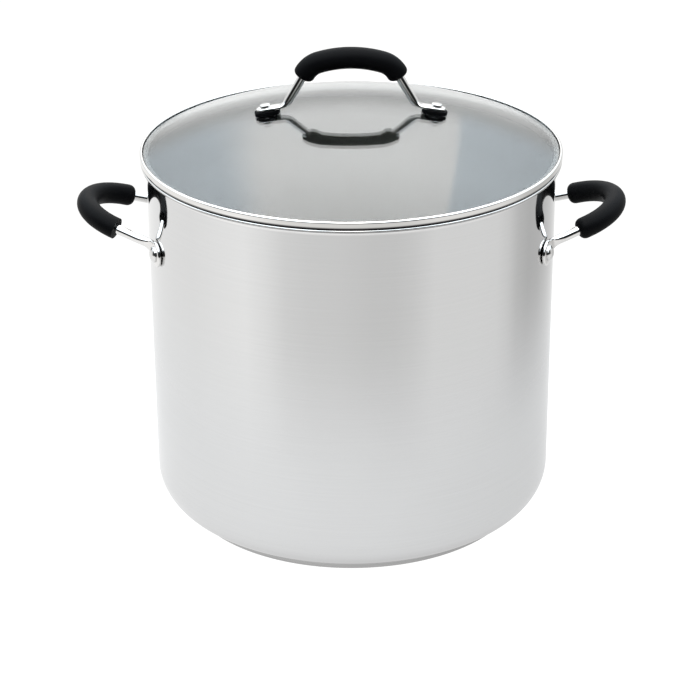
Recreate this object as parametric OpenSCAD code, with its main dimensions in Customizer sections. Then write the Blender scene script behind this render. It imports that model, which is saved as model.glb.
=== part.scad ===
// Tall covered stockpot: a drawn steel pot with a bonded base, two riveted
// loop handles with silicone sleeves, and a domed glass lid with a steel band.
// Units are millimetres. The origin is the centre of the base's underside,
// +Z is up and the side handles stand on the X axis.

/* [Pot] */
// Outer radius of the straight wall
wall_r = 127; // [120:1:140]
// Thickness of the drawn steel sheet
wall_t = 0.8; // [0.6:0.1:1.2]
// Outer radius of the rounded bottom corner
corner_r = 22; // [16:1:26]
// Height where the wall starts to flare into the lip
flare_z = 229; // [200:1:260]
// Radius of the flare under the lip
flare_r = 3.2; // [2.6:0.1:3.6]
// Radius of the rolled bead around the mouth
bead_r = 0.95; // [0.8:0.05:1.2]

/* [Base] */
// Total thickness of the bonded base under the pot
base_h = 4.4; // [3.5:0.1:6]
// Outer radius of the base
base_r = 110; // [106:1:112]
// Thickness of the steel cap around the aluminium core
cap_t = 0.6; // [0.4:0.1:0.8]

/* [Side handles] */
// Radius of the handle rod
rod_r = 3; // [2.5:0.1:3.5]
// Outer radius of the silicone sleeve
sleeve_r = 6.7; // [6:0.1:7.5]
// Height at which the loop's plane meets the wall
handle_z = 189.6; // [170:0.1:195]
// Upward tilt of the loop's plane
handle_tilt = 18.7; // [0:0.1:30]
// Distance from the wall to the rod's centre at the end of the loop
handle_reach = 40; // [38:0.5:50]
// Angle by which each leg leans inwards
toe_in = 18.5; // [12:0.5:22]
// Radius of the loop's round end, on the rod's centre line
loop_r = 31.26; // [28:0.01:32]
// Length of each leg that the sleeve covers
sleeve_leg = 2.6; // [2.6:0.1:5]
// How far short of that the left sleeve stops on its front leg
left_sleeve_short = 2.4; // [0:0.1:2.4]
// Angle around the pot from the X axis to each rivet
rivet_angle = 21.5; // [21:0.5:23]
// Height of the rivets
rivet_z = 185.5; // [180:0.5:190]
// Radius of the flattened round foot of the rod
foot_r = 8; // [7:0.5:9]
// Thickness of the flattened foot
foot_t = 2.6; // [2:0.1:3]

/* [Lid] */
// Radius of the glass dome's upper surface
dome_r = 340; // [330:5:400]
// Thickness of the glass
glass_t = 3.5; // [3:0.1:3.6]
// Outer radius of the steel band
band_r = 130.7; // [130.7:0.1:130.8]
// Height of the band from the seat to its top
band_h = 4.8; // [4.6:0.1:5.2]
// Thickness of the band's sheet
band_t = 0.6; // [0.4:0.1:0.6]
// Depth of the skirt that locates the lid in the mouth
skirt_h = 4.3; // [3:0.1:6]
// Free gap between the lid's band and the pot's bead
seat_gap = 0.3; // [0.3:0.05:0.5]

/* [Lid handle] */
// Radius of the lid handle's rod
lid_rod_r = 2.75; // [2.5:0.05:3]
// Outer radius of the lid handle's silicone sleeve
lid_sleeve_r = 6.65; // [6:0.05:7]
// Height of the rod's centre at the middle of the handle
lid_handle_z = 295; // [292:0.5:300]
// Radius of the shallow middle bow
bow_r = 68.6; // [60:0.1:80]
// Half angle of the middle bow
bow_half = 16.5; // [14:0.5:18]
// Radius of the tighter bend at each end of the bow
bend_r = 15; // [14:0.5:16]
// Angle of the legs below the horizontal
leg_drop = 60; // [58:0.5:62]
// Radius of the bend above each foot
ankle_r = 5; // [4.5:0.5:7]
// Distance from the axis to each lid rivet
lid_rivet_x = 52; // [51:0.5:53]
// Half the width of the lid handle's flat foot
lid_foot_r = 4; // [3.8:0.1:4.4]
// Distance from the lid rivet to the outer end of the foot
lid_foot_out = 5.8; // [5.4:0.1:6.4]
// Thickness of the lid handle's foot
lid_foot_t = 2.2; // [2:0.1:2.6]
// Thickness of the silicone pad under each foot
pad_t = 2.6; // [2:0.1:3]

/* [Hidden] */
$fn = 64;

steel = [0.80, 0.81, 0.82];
bright_steel = [0.86, 0.86, 0.87];
aluminium = [0.68, 0.69, 0.71];
silicone = [0.07, 0.07, 0.08];
glass_tint = [0.72, 0.80, 0.82, 0.35];

// Clearance between a shank or rod and the hole that holds it
slip = 0.05;
// Length by which a cutter runs past what it cuts
past = 1;
// Clearance around a rivet's head where a foot is cut back for it
head_room = 0.3;
// How far a blend's ends sit inside the shapes that they join
tuck = 0.1;
// Small chamfer on the edges of rivets and glass
edge = 0.4;
// Length of the stub of rod that a blend starts from
stub = 1;
// How much narrower a blend is than the foot that it runs into
inset = 1;
// Segments in a quarter of a revolved fillet, and in a small one
fillet_steps = 14;
small_steps = 6;
// Segments along the flare, around the bead and along the dome
flare_steps = 8;
bead_steps = 20;
dome_steps = 24;
// Smoothness of the large turned pieces
turned_fn = 180;
// Smoothness of the shapes that a hull joins
blend_fn = 32;
// Sides of a swept rod or sleeve, and stations along its bends
sides = 24;
loop_steps = 16;
bow_steps = 6;
bend_steps = 5;
mouth_steps = 4;

// Pot: centre of the bottom corner, and of the flare under the lip
corner_x = wall_r - corner_r;
corner_z = base_h + corner_r;
flare_x = wall_r + flare_r;
// Angle around the flare's centre at which the sheet enters the bead
bead_at = 100;
bead_x = flare_x + (flare_r + wall_t / 2) * cos(bead_at);
bead_z = flare_z + (flare_r + wall_t / 2) * sin(bead_at);
// The bead's circle leaves out this half angle, where the sheet enters it
bead_open = asin(wall_t / 2 / bead_r);
// The flare's faces stop this angle short of the bead's centre
flare_stop = bead_at + 17;
mouth_z = bead_z + bead_r;

// Radius of the base cap's bottom edge
cap_round = 2.4;

// Rivets of the side handles
shank_r = 2.4;
head_r = 4.9;
head_h = 2.7;
tail_r = 4;
tail_h = 1.2;

// Side handle loop, in its own plane: X runs outwards, Y along the wall
loop_half = 90 - toe_in;
loop_x = handle_reach - loop_r;
tangent_x = loop_x + loop_r * cos(loop_half);
// The leg ends this far inside the plane through the wall's widest point
leg_past = 1.5;
side_leg = (tangent_x + leg_past) / cos(toe_in);
// Radius of the rounded mouths of both kinds of sleeve
sleeve_round = 3.2;

// Lid: the seat, the band's top and the dome's centre
seat_z = mouth_z + seat_gap;
band_top = seat_z + band_h;
// Width of the band's top hem, its outer bend, and the hem's chamfer
hem_w = 2.5;
band_round = 1;
hem_edge = 0.2;
// Free gaps between the skirt and the wall, around the glass, and under it
skirt_gap = 1;
glass_gap = 0.1;
glass_lift = 0.02;
hem_x = band_r - hem_w;
skirt_x = wall_r - wall_t - skirt_gap;
glass_edge = band_r - band_t - glass_gap;
glass_seat = seat_z + band_t + glass_lift;
dome_z = band_top - band_t - slip - sqrt(dome_r * dome_r - hem_x * hem_x);
dome_in = dome_r - glass_t;
// Slope of the glass where the handle's feet stand
foot_slope = asin(lid_rivet_x / dome_r);
// Lid rivets, pads, gaskets and washers, stacked along the glass's normal
lid_shank_r = 2;
lid_head_r = 3.2;
lid_head_h = 1.6;
hole_r = 4;
// The pad's round ends, and how far their centres are from the rivet
pad_r = 4.8;
pad_in = 4;
pad_out = 2.4;
// Centre of the round inner end of the foot, inwards from the rivet
lid_foot_in = 6.4;
gasket_r = 6.5;
gasket_t = 1.5;
washer_r = 6;
washer_t = 1;
lid_tail_r = 3.2;
lid_tail_h = 1.2;

// Lid handle, in the XZ plane
bend_x = (bow_r - bend_r) * sin(bow_half);
bend_z = lid_handle_z - bow_r + (bow_r - bend_r) * cos(bow_half);
leg_x = bend_x + bend_r * sin(leg_drop);
leg_z = bend_z + bend_r * cos(leg_drop);
// Height above the pad of the toe of a leg of no length, and the length that
// sets the rod down on the pad
toe_over_x = leg_x + ankle_r * (sin(leg_drop) - sin(foot_slope)) - lid_rivet_x;
toe_over_z = leg_z + ankle_r * (cos(leg_drop) - cos(foot_slope)) - dome_z - dome_r * cos(foot_slope);
toe_drop = toe_over_x * sin(foot_slope) + toe_over_z * cos(foot_slope) - pad_t - slip - lid_rod_r;
leg_len = toe_drop / sin(leg_drop - foot_slope);
ankle_x = leg_x + leg_len * cos(leg_drop) + ankle_r * sin(leg_drop);
ankle_z = leg_z - leg_len * sin(leg_drop) + ankle_r * cos(leg_drop);
toe_x = ankle_x - ankle_r * sin(foot_slope);
toe_z = ankle_z - ankle_r * cos(foot_slope);

// Points along a circular arc, from angle a0 to angle a1
function arc(x, y, r, a0, a1, n = fillet_steps) =
    [for (i = [0:n]) let (a = a0 + (a1 - a0) * i / n) [x + r * cos(a), y + r * sin(a)]];

// Stations of a path along an arc: X, Y and heading
function turn(x, y, r, a0, a1, n) =
    [for (i = [0:n]) let (a = a0 + (a1 - a0) * i / n)
        [x + r * cos(a), y + r * sin(a), a1 > a0 ? a + 90 : a - 90]];

// A station moved along its own heading
function ahead(st, by) = [st[0] + by * cos(st[2]), st[1] + by * sin(st[2]), st[2]];

// Ring of points around a station, square to its heading
function ring(st, r) =
    [for (i = [0:sides - 1]) let (a = 360 * i / sides)
        [st[0] + r * cos(a) * sin(st[2]), st[1] - r * cos(a) * cos(st[2]), r * sin(a)]];

// Rings of one round radius along a path
function rings(path, r) = [for (st = path) ring(st, r)];

// Rings of a rounded mouth that grows from a path's first station
function mouth(st, r) =
    [for (i = [0:mouth_steps - 1]) let (a = 90 * i / mouth_steps)
        ring(ahead(st, -sleeve_round * cos(a)), r - sleeve_round + sleeve_round * sin(a))];

// Rings of a mouth at a path's last station
function far_mouth(st, r) =
    [for (i = [mouth_steps - 1:-1:0]) let (a = 90 * i / mouth_steps)
        ring(ahead(st, sleeve_round * cos(a)), r - sleeve_round + sleeve_round * sin(a))];

function reversed(list) = [for (i = [len(list) - 1:-1:0]) list[i]];

// Skins a list of rings; a ring-shaped skin joins its last ring to its first
module skin(list, looped = false) {
    count = len(list);
    last = looped ? count - 1 : count - 2;
    walls = [for (i = [0:last], j = [0:sides - 1])
        let (k = (j + 1) % sides, next = (i + 1) % count)
            [i * sides + j, i * sides + k, next * sides + k, next * sides + j]];
    start = [for (j = [sides - 1:-1:0]) j];
    end = [for (j = [0:sides - 1]) (count - 1) * sides + j];
    polyhedron(points = [for (r = list) each r], faces = looped ? walls : concat([start], walls, [end]));
}

// A solid rod along a path
module rod(path, r) {
    skin(rings(path, r));
}

// A hollow sleeve with rounded mouths along a path
module sleeve(path, inner, outer) {
    first = path[0];
    final = path[len(path) - 1];
    bore = concat([ahead(first, -sleeve_round)], path, [ahead(final, sleeve_round)]);
    skin(concat(mouth(first, outer), rings(path, outer), far_mouth(final, outer),
        reversed(rings(bore, inner))), true);
}

// ---------- Pot ----------

// Section of the pot's sheet: floor, corner, wall, flare and rolled bead
module pot_section() {
    outside = concat(
        [[0, base_h]],
        arc(corner_x, corner_z, corner_r, -90, 0),
        arc(flare_x, flare_z, flare_r, 180, flare_stop, flare_steps));
    bead = arc(bead_x, bead_z, bead_r, bead_at + bead_open - 270, bead_at - bead_open + 90, bead_steps);
    inside = concat(
        arc(flare_x, flare_z, flare_r + wall_t, flare_stop, 180, flare_steps),
        arc(corner_x, corner_z, corner_r - wall_t, 0, -90),
        [[0, base_h + wall_t]]);
    polygon(concat(outside, bead, inside));
}

// Places children at one side rivet: +X outwards, from the wall's outer face
module at_rivet(side, end) {
    rotate([0, 0, side > 0 ? end * rivet_angle : 180 - end * rivet_angle])
        translate([wall_r, 0, rivet_z])
            rotate([0, 90, 0])
                children();
}

module pot_body() {
    color(steel)
        difference() {
            rotate_extrude($fn = turned_fn) pot_section();
            for (side = [-1, 1], end = [-1, 1])
                at_rivet(side, end)
                    translate([0, 0, -wall_t - past])
                        cylinder(r = shank_r + slip, h = wall_t + 2 * past);
        }
}

module base_core() {
    color(aluminium)
        translate([0, 0, cap_t + slip])
            cylinder(r = base_r - cap_t - slip, h = base_h - cap_t - slip, $fn = turned_fn);
}

// Section of the dished cap that wraps the core
module cap_section() {
    polygon(concat(
        [[0, 0]],
        arc(base_r - cap_round, cap_round, cap_round, -90, 0, small_steps),
        [[base_r, base_h], [base_r - cap_t, base_h], [base_r - cap_t, cap_t], [0, cap_t]]));
}

module base_cap() {
    color(steel)
        rotate_extrude($fn = turned_fn) cap_section();
}

// ---------- Side handles ----------

// Places children in the loop's tilted plane, on the +X side of the pot
module in_loop_plane() {
    translate([wall_r, 0, handle_z])
        rotate([0, -handle_tilt, 0])
            children();
}

// Path of the loop, with a front leg and a rear leg of given lengths
function loop_path(front, rear) = let (
    bend = turn(loop_x, 0, loop_r, -loop_half, loop_half, loop_steps))
    concat([ahead(bend[0], -front)], bend, [ahead(bend[loop_steps], rear)]);

// Places children at the wall end of one leg, with +Z along the leg
module at_leg_end(end) {
    last = loop_path(side_leg, side_leg)[end > 0 ? loop_steps + 2 : 0];
    translate([last[0], last[1], 0])
        rotate([0, 0, end * (180 - toe_in)])
            rotate([0, 90, 0])
                children();
}

// Blends the end of the rod into its flattened foot
module foot_blend(end) {
    hull() {
        in_loop_plane()
            at_leg_end(end)
                translate([0, 0, -stub - tuck])
                    cylinder(r = rod_r - tuck, h = stub, $fn = blend_fn);
        at_rivet(1, end)
            translate([0, 0, slip + tuck])
                cylinder(r = foot_r - inset, h = foot_t - 2 * tuck, $fn = blend_fn);
    }
}

// One loop handle's rod, on the +X side
module handle_rod() {
    difference() {
        union() {
            in_loop_plane() rod(loop_path(side_leg, side_leg), rod_r);
            for (end = [-1, 1]) {
                foot_blend(end);
                at_rivet(1, end)
                    translate([0, 0, slip])
                        cylinder(r = foot_r, h = foot_t);
            }
        }
        for (end = [-1, 1])
            at_rivet(1, end) {
                translate([0, 0, -past]) cylinder(r = shank_r + slip, h = foot_t + 2 * past);
                translate([0, 0, foot_t + slip]) cylinder(r = head_r + head_room, h = foot_r);
            }
    }
}

// One silicone sleeve, on the +X side
module handle_sleeve(short = 0) {
    in_loop_plane() sleeve(loop_path(sleeve_leg - short, sleeve_leg), rod_r + slip, sleeve_r);
}

// A domed rivet of the side handles, through the foot and the wall
module side_rivet(side, end) {
    cap_r = (head_r * head_r + head_h * head_h) / (2 * head_h);
    cap_half = asin(head_r / cap_r);
    foot_top = foot_t + 2 * slip;
    tail_top = -wall_t - 2 * slip;
    color(bright_steel)
        at_rivet(side, end)
            rotate_extrude()
                polygon(concat(
                    [[0, tail_top - tail_h], [tail_r - edge, tail_top - tail_h],
                     [tail_r, tail_top - tail_h + edge], [tail_r, tail_top],
                     [shank_r, tail_top], [shank_r, foot_top]],
                    arc(0, foot_top + head_h - cap_r, cap_r, 90 - cap_half, 90, small_steps)));
}

module right_handle_rod() {
    color(bright_steel) handle_rod();
}

module left_handle_rod() {
    color(bright_steel) mirror([1, 0, 0]) handle_rod();
}

module right_handle_sleeve() {
    color(silicone) handle_sleeve();
}

module left_handle_sleeve() {
    color(silicone) mirror([1, 0, 0]) handle_sleeve(left_sleeve_short);
}

// ---------- Lid ----------

// Places children on the glass at one handle foot, with +Z along its normal
module at_foot(side) {
    translate([0, 0, dome_z])
        rotate([0, side * foot_slope, 0])
            translate([0, 0, dome_r])
                children();
}

module lid_glass() {
    edge_top = acos(glass_edge / dome_r);
    inner_edge = asin((glass_seat - dome_z) / dome_in);
    color(glass_tint)
        difference() {
            rotate_extrude($fn = turned_fn)
                polygon(concat(
                    arc(0, dome_z, dome_r, 90, edge_top, dome_steps),
                    [[glass_edge, glass_seat + edge], [glass_edge - edge, glass_seat]],
                    arc(0, dome_z, dome_in, inner_edge, 90, dome_steps)));
            for (side = [-1, 1])
                at_foot(side)
                    translate([0, 0, -glass_t - past])
                        cylinder(r = hole_r, h = glass_t + 2 * past);
        }
}

// Section of the rolled band: top hem, outer wall, seat and locating skirt
module band_section() {
    bend_at = band_r - band_round;
    inner_round = band_round - band_t;
    polygon(concat(
        [[hem_x, band_top - band_t], [hem_x, band_top - hem_edge], [hem_x + hem_edge, band_top]],
        arc(bend_at, band_top - band_round, band_round, 90, 0, small_steps),
        arc(bend_at, seat_z + band_round, band_round, 0, -90, small_steps),
        [[skirt_x, seat_z], [skirt_x, seat_z - skirt_h],
         [skirt_x - band_t, seat_z - skirt_h], [skirt_x - band_t, seat_z + band_t]],
        arc(bend_at, seat_z + band_round, inner_round, -90, 0, small_steps),
        arc(bend_at, band_top - band_round, inner_round, 0, 90, small_steps)));
}

module lid_band() {
    color(bright_steel)
        rotate_extrude($fn = turned_fn) band_section();
}

// Path of the lid handle's bow and its two end bends
function bow_path() = concat(
    turn(-bend_x, bend_z, bend_r, 90 + leg_drop, 90 + bow_half, bend_steps),
    [for (i = [1:bow_steps - 1])
        turn(0, lid_handle_z - bow_r, bow_r, 90 + bow_half, 90 - bow_half, bow_steps)[i]],
    turn(bend_x, bend_z, bend_r, 90 - bow_half, 90 - leg_drop, bend_steps));

// Path of the whole rod, from the left foot to the right foot
function handle_path() = concat(
    turn(-ankle_x, ankle_z, ankle_r, foot_slope - 90, leg_drop - 90, bend_steps),
    bow_path(),
    turn(ankle_x, ankle_z, ankle_r, 270 - leg_drop, 270 - foot_slope, bend_steps));

// One flat foot of the lid handle's rod, and the blend into it
module lid_foot(side) {
    hull() {
        translate([side * toe_x, 0, toe_z])
            rotate([0, side * (90 + foot_slope), 0])
                translate([0, 0, -stub - tuck])
                    cylinder(r = lid_rod_r - tuck, h = stub, $fn = blend_fn);
        at_foot(side)
            translate([-side * lid_foot_in, 0, pad_t + slip + tuck])
                cylinder(r = lid_foot_r - inset, h = lid_foot_t - 2 * tuck, $fn = blend_fn);
    }
    hull()
        for (shift = [-lid_foot_in, lid_foot_out - lid_foot_r])
            at_foot(side)
                translate([side * shift, 0, pad_t + slip])
                    cylinder(r = lid_foot_r, h = lid_foot_t, $fn = blend_fn);
}

module lid_handle_rod() {
    color(bright_steel)
        difference() {
            union() {
                rotate([90, 0, 0]) rod(handle_path(), lid_rod_r);
                for (side = [-1, 1])
                    lid_foot(side);
            }
            for (side = [-1, 1])
                at_foot(side) {
                    cylinder(r = lid_shank_r + slip, h = pad_t + lid_foot_t + past);
                    translate([0, 0, pad_t + lid_foot_t + slip])
                        cylinder(r = lid_head_r + head_room, h = lid_head_h + past);
                }
        }
}

module lid_handle_sleeve() {
    color(silicone)
        rotate([90, 0, 0]) sleeve(bow_path(), lid_rod_r + slip, lid_sleeve_r);
}

// A ring stacked on the glass's normal between two heights
module stacked_ring(side, outer, inner, low, high) {
    at_foot(side)
        translate([0, 0, low])
            difference() {
                cylinder(r = outer, h = high - low);
                translate([0, 0, -past]) cylinder(r = inner, h = high - low + 2 * past);
            }
}

// Silicone pad between the handle's foot and the glass
module foot_pad(side) {
    color(silicone)
        at_foot(side)
            difference() {
                hull()
                    for (shift = [-pad_in, pad_out])
                        translate([side * shift, 0, slip])
                            cylinder(r = pad_r, h = pad_t - slip, $fn = blend_fn);
                translate([0, 0, -past]) cylinder(r = lid_shank_r + slip, h = pad_t + 2 * past);
            }
}

// Silicone sleeve that keeps the rivet off the edge of the hole
module hole_sleeve(side) {
    color(silicone)
        stacked_ring(side, hole_r - slip, lid_shank_r + slip, -glass_t, 0);
}

module lid_gasket(side) {
    color(silicone)
        stacked_ring(side, gasket_r, lid_shank_r + slip, -glass_t - gasket_t, -glass_t - 3 * slip);
}

module lid_washer(side) {
    washer_top = -glass_t - gasket_t - slip;
    color(bright_steel)
        stacked_ring(side, washer_r, lid_shank_r + slip, washer_top - washer_t, washer_top);
}

module lid_rivet(side) {
    head_z = pad_t + lid_foot_t + 2 * slip;
    tail_z = -glass_t - gasket_t - washer_t - 2 * slip;
    color(bright_steel)
        at_foot(side)
            rotate_extrude()
                polygon(concat(
                    [[0, tail_z - lid_tail_h], [lid_tail_r - edge, tail_z - lid_tail_h],
                     [lid_tail_r, tail_z - lid_tail_h + edge], [lid_tail_r, tail_z],
                     [lid_shank_r, tail_z], [lid_shank_r, head_z], [lid_head_r, head_z]],
                    arc(lid_head_r - edge, head_z + lid_head_h - edge, edge, 0, 90, small_steps),
                    [[0, head_z + lid_head_h]]));
}

pot_body();
base_core();
base_cap();
left_handle_rod();
left_handle_sleeve();
side_rivet(-1, -1);  // left_front_rivet
side_rivet(-1, 1);  // left_rear_rivet
right_handle_rod();
right_handle_sleeve();
side_rivet(1, -1);  // right_front_rivet
side_rivet(1, 1);  // right_rear_rivet
lid_glass();
lid_band();
lid_handle_rod();
lid_handle_sleeve();
foot_pad(-1);  // left_foot_pad
foot_pad(1);  // right_foot_pad
hole_sleeve(-1);  // left_hole_sleeve
hole_sleeve(1);  // right_hole_sleeve
lid_rivet(-1);  // left_lid_rivet
lid_rivet(1);  // right_lid_rivet
lid_gasket(-1);  // left_lid_gasket
lid_gasket(1);  // right_lid_gasket
lid_washer(-1);  // left_lid_washer
lid_washer(1);  // right_lid_washer
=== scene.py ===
# Looks of a tall covered stockpot: a brushed steel pot on a bonded base, riveted loop
# handles with silicone sleeves, and a domed glass lid with a steel band and bow handle.
# Units are metres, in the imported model's own frame: +Z up, the side handles on X.
import math

import bmesh
import bpy
from mathutils import Matrix, Vector


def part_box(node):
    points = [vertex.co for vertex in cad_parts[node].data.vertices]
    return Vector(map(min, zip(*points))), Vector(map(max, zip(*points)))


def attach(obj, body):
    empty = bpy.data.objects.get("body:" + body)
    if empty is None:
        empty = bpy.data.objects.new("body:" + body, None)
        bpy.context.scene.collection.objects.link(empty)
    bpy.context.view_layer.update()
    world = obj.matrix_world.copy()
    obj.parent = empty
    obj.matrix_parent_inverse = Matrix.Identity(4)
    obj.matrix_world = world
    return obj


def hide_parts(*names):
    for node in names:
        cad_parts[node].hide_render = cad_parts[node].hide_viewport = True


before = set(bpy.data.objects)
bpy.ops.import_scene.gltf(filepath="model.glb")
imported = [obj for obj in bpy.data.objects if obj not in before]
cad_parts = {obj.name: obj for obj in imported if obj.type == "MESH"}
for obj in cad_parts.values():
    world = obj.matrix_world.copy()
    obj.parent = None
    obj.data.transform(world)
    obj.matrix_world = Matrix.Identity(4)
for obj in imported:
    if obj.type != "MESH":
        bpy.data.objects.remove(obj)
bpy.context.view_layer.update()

MM = 0.001
TURNS = 256
RIVET_TURNS = 64
ROD_SIDES = 40
HALF_PI = math.pi / 2

# ---------- Sizes, from the frame's boxes and the pieces' own dimensions ----------

POT_LOW, POT_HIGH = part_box("pot_body")
BASE_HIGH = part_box("base_cap")[1]
CORE_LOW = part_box("base_core")[0]
BAND_LOW, BAND_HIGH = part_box("lid_band")
GLASS_LOW, GLASS_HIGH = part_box("lid_glass")
GRIP_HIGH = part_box("lid_handle_sleeve")[1]

# Pot and base: the wall, the corner under it, the flared lip and its rolled bead
BASE_H = POT_LOW.z
BASE_R = BASE_HIGH.x
CAP_T = CORE_LOW.z
CAP_EDGE_R = 2.4 * MM
CAP_NICK_R = 0.15 * MM
MOUTH_Z = POT_HIGH.z
WALL_R = 127 * MM
WALL_T = 0.8 * MM
CORNER_R = 22 * MM
FLARE_R = 3.2 * MM
BEAD_R = 0.95 * MM
BEAD_AT = math.radians(100)
BEAD_LAP = math.radians(17)

# Clearance between pieces that touch in the real pot
SLIP = 0.05 * MM

# Side handles: a loop in a plane that leans up from the wall
HANDLE_Z = 189.6 * MM
HANDLE_TILT = math.radians(18.7)
TOE_IN = math.radians(18.5)
LOOP_R = 31.26 * MM
LOOP_X = 40 * MM - LOOP_R
LEG_REACH = 14 * MM
SLEEVE_LEG = 1.8 * MM
LEFT_SLEEVE_SHORT = 2.4 * MM
ROD_R = 3 * MM
SLEEVE_R = 6.7 * MM
SLEEVE_ROUND = 3.2 * MM
SLEEVE_MOUTH = 4 * MM
RIVET_ANGLE = math.radians(21.5)
RIVET_Z = 185.5 * MM
FOOT_R = 8 * MM
FOOT_T = 2.6 * MM
FOOT_NECK = FOOT_R * 0.62

# Side rivets: a shank through wall and foot, a domed head outside and a flat tail inside
SHANK_R = 2.4 * MM
HEAD_R = 4.9 * MM
HEAD_H = 2.7 * MM
HEAD_RIM = 0.8 * MM
TAIL_R = 4 * MM
TAIL_H = 1.2 * MM
TAIL_EDGE_R = 0.5 * MM
TAIL_GAP = 0.1 * MM

# Lid: the glass, the band around it and what the handle stands on
DOME_R = 340 * MM
GLASS_T = 3.5 * MM
BAND_T = 0.6 * MM
BAND_R = BAND_HIGH.x
BAND_TOP = BAND_HIGH.z
GLASS_LIFT = 0.02 * MM
SEAT_Z = GLASS_LOW.z - BAND_T - GLASS_LIFT
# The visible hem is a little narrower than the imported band's
HEM_X = BAND_R - 2.5 * MM + 0.9 * MM
HEM_EDGE_R = 0.25 * MM
FOLD_R = 1 * MM
SKIRT_X = WALL_R - WALL_T - 1 * MM
GLASS_EDGE = GLASS_HIGH.x
DOME_Z = GLASS_HIGH.z - DOME_R
HOLE_R = 4 * MM

# Lid handle: a bow in the XZ plane, on two feet
LID_ROD_R = 2.75 * MM
LID_SLEEVE_R = GRIP_HIGH.y
BOW_R = 68.6 * MM
BOW_HALF = math.radians(16.5)
BOW_TOP = GRIP_HIGH.z - LID_SLEEVE_R
BEND_R = 15 * MM
LEG_DROP = math.radians(60)
ANKLE_R = 5 * MM
LID_RIVET_X = 52 * MM
FOOT_SLOPE = math.asin(LID_RIVET_X / DOME_R)
LID_FOOT_R = 4 * MM
LID_FOOT_OUT = 5.8 * MM
LID_FOOT_T = 2.2 * MM
LID_FOOT_NECK = LID_FOOT_R * 2.1
PAD_R = 4.8 * MM
PAD_IN = 4 * MM
PAD_OUT = 2.4 * MM
PAD_T = 2.6 * MM
PAD_EDGE_R = 0.35 * MM

# Lid rivets: flat heads, and tails under a soft gasket and a washer
LID_SHANK_R = 2 * MM
LID_HEAD_R = 3.2 * MM
LID_HEAD_H = 1.6 * MM
LID_TAIL_R = 3.2 * MM
LID_TAIL_H = 1.2 * MM
GASKET_T = 1.5 * MM
WASHER_T = 1 * MM


# ---------- Outlines, as points (x, z) in metres ----------

def arc(x, z, radius, start, end, steps):
    """Points along an arc; the angles are in radians."""
    turns = [start + (end - start) * i / steps for i in range(steps + 1)]
    return [(x + radius * math.cos(a), z + radius * math.sin(a)) for a in turns]


def line(start, end, steps):
    """Points along a line, closer together near its ends so that it shades flat."""
    places = [(1 - math.cos(math.pi * i / steps)) / 2 for i in range(steps + 1)]
    run = end[0] - start[0]
    rise = end[1] - start[1]
    return [(start[0] + run * t, start[1] + rise * t) for t in places]


def rounded(corners, steps=5):
    """A closed outline through corners (x, z, radius), each rounded to its radius."""
    outline = []
    for i, (x, z, radius) in enumerate(corners):
        here = Vector((x, z))
        if radius == 0:
            outline.append((x, z))
            continue
        back = (Vector(corners[i - 1][:2]) - here).normalized()
        onward = (Vector(corners[(i + 1) % len(corners)][:2]) - here).normalized()
        half = back.angle(onward) / 2
        centre = here + (back + onward).normalized() * (radius / math.sin(half))
        first = here + back * (radius / math.tan(half)) - centre
        last = here + onward * (radius / math.tan(half)) - centre
        start = math.atan2(first.y, first.x)
        turn = (math.atan2(last.y, last.x) - start + math.pi) % (2 * math.pi) - math.pi
        outline += arc(centre.x, centre.y, radius, start, start + turn, steps)
    return outline


# ---------- Meshes ----------

WELD = 0.002 * MM
SHARP_ANGLE = math.radians(40)
SAME_POINT = 1e-7
BORE_SIDES = 48


def finish_mesh(name, bm, materials):
    """Turns a bmesh into a smooth-shaded object that keeps its sharp edges."""
    bmesh.ops.remove_doubles(bm, verts=bm.verts, dist=WELD)
    bmesh.ops.recalc_face_normals(bm, faces=bm.faces)
    mesh = bpy.data.meshes.new(name)
    bm.to_mesh(mesh)
    bm.free()
    for material in materials:
        mesh.materials.append(material)
    mesh.shade_smooth()
    mesh.set_sharp_from_angle(angle=SHARP_ANGLE)
    piece = bpy.data.objects.new(name, mesh)
    bpy.context.collection.objects.link(piece)
    return piece


def lathe(name, stretches, closed=True, turns=TURNS, place=None):
    """Revolves an outline of (x, z) points about Z. Each stretch is (material, points)."""
    bm = bmesh.new()
    materials = []
    outline = []
    for material, points in stretches:
        if material not in materials:
            materials.append(material)
        for point in points:
            if not outline or (Vector(point) - Vector(outline[-1][0])).length > SAME_POINT:
                outline.append((point, materials.index(material)))
            else:
                outline[-1] = (outline[-1][0], materials.index(material))
    if closed and (Vector(outline[0][0]) - Vector(outline[-1][0])).length < SAME_POINT:
        outline.pop()
    rings = []
    for (x, z), _ in outline:
        if abs(x) < SAME_POINT:
            rings.append([bm.verts.new((0, 0, z))] * turns)
            continue
        angles = [2 * math.pi * i / turns for i in range(turns)]
        rings.append([bm.verts.new((x * math.cos(a), x * math.sin(a), z)) for a in angles])
    count = len(rings)
    for i in range(count if closed else count - 1):
        here = rings[i]
        after = rings[(i + 1) % count]
        for j in range(turns):
            k = (j + 1) % turns
            corners = []
            for vert in (here[j], here[k], after[k], after[j]):
                if vert not in corners:
                    corners.append(vert)
            if len(corners) > 2:
                bm.faces.new(corners).material_index = outline[i][1]
    if place is not None:
        bmesh.ops.transform(bm, matrix=place, verts=bm.verts)
    return finish_mesh(name, bm, materials)


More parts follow.
